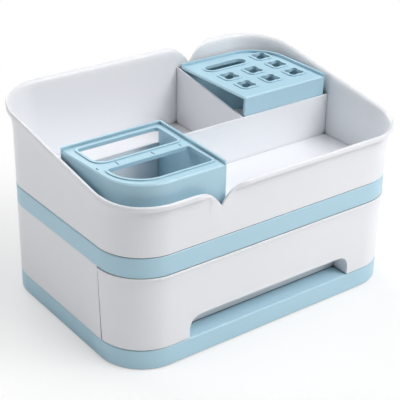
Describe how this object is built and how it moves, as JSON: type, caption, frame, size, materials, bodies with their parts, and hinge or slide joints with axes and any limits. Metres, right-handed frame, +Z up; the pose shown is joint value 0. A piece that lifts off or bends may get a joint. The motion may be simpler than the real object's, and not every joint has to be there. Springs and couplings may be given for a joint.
{
  "type": "makeup organizer with drawer",
  "caption": "Rounded desktop organizer: a wide drawer with a finger recess under a lift-off tray, whose sloped rim has pointed notches, with lift-out brush and lipstick racks",
  "frame": {"origin": "centre of the footprint, on the surface the feet stand on", "axes": "X along the front from left to right as seen from the front, Y from the front with the drawer to the back, Z up"},
  "size_m": [0.3096, 0.218, 0.1846],
  "materials": {
    "white_plastic": "satin moulded white plastic",
    "blue_plastic": "satin moulded light blue plastic",
    "foot_rubber": "matt grey rubber"
  },
  "bodies": {
    "carcass": {"base_plate": "blue_plastic", "foot_front_left": "foot_rubber", "foot_front_right": "foot_rubber", "foot_rear_left": "foot_rubber", "foot_rear_right": "foot_rubber", "housing_shell": "white_plastic", "deck_plate": "blue_plastic"},
    "drawer": {"drawer_front": "white_plastic", "drawer_box": "white_plastic"},
    "tray": {"upper_tray": "white_plastic"},
    "brush_holder": {"brush_rack": "blue_plastic"},
    "lipstick_holder": {"lipstick_rack": "blue_plastic"}
  },
  "joints": [
    {"name": "drawer_slide", "type": "slide", "parent": "carcass", "child": "drawer", "axis": [0, -1, 0], "range_m": [0, 0.11]},
    {"name": "tray_lift", "type": "slide", "parent": "carcass", "child": "tray", "axis": [0, 0, 1], "range_m": [0, 0.06]},
    {"name": "brush_rack_lift", "type": "slide", "parent": "tray", "child": "brush_holder", "axis": [0, 0, 1], "range_m": [0, 0.08]},
    {"name": "lipstick_rack_lift", "type": "slide", "parent": "tray", "child": "lipstick_holder", "axis": [0, 0, 1], "range_m": [0, 0.08]}
  ]
}
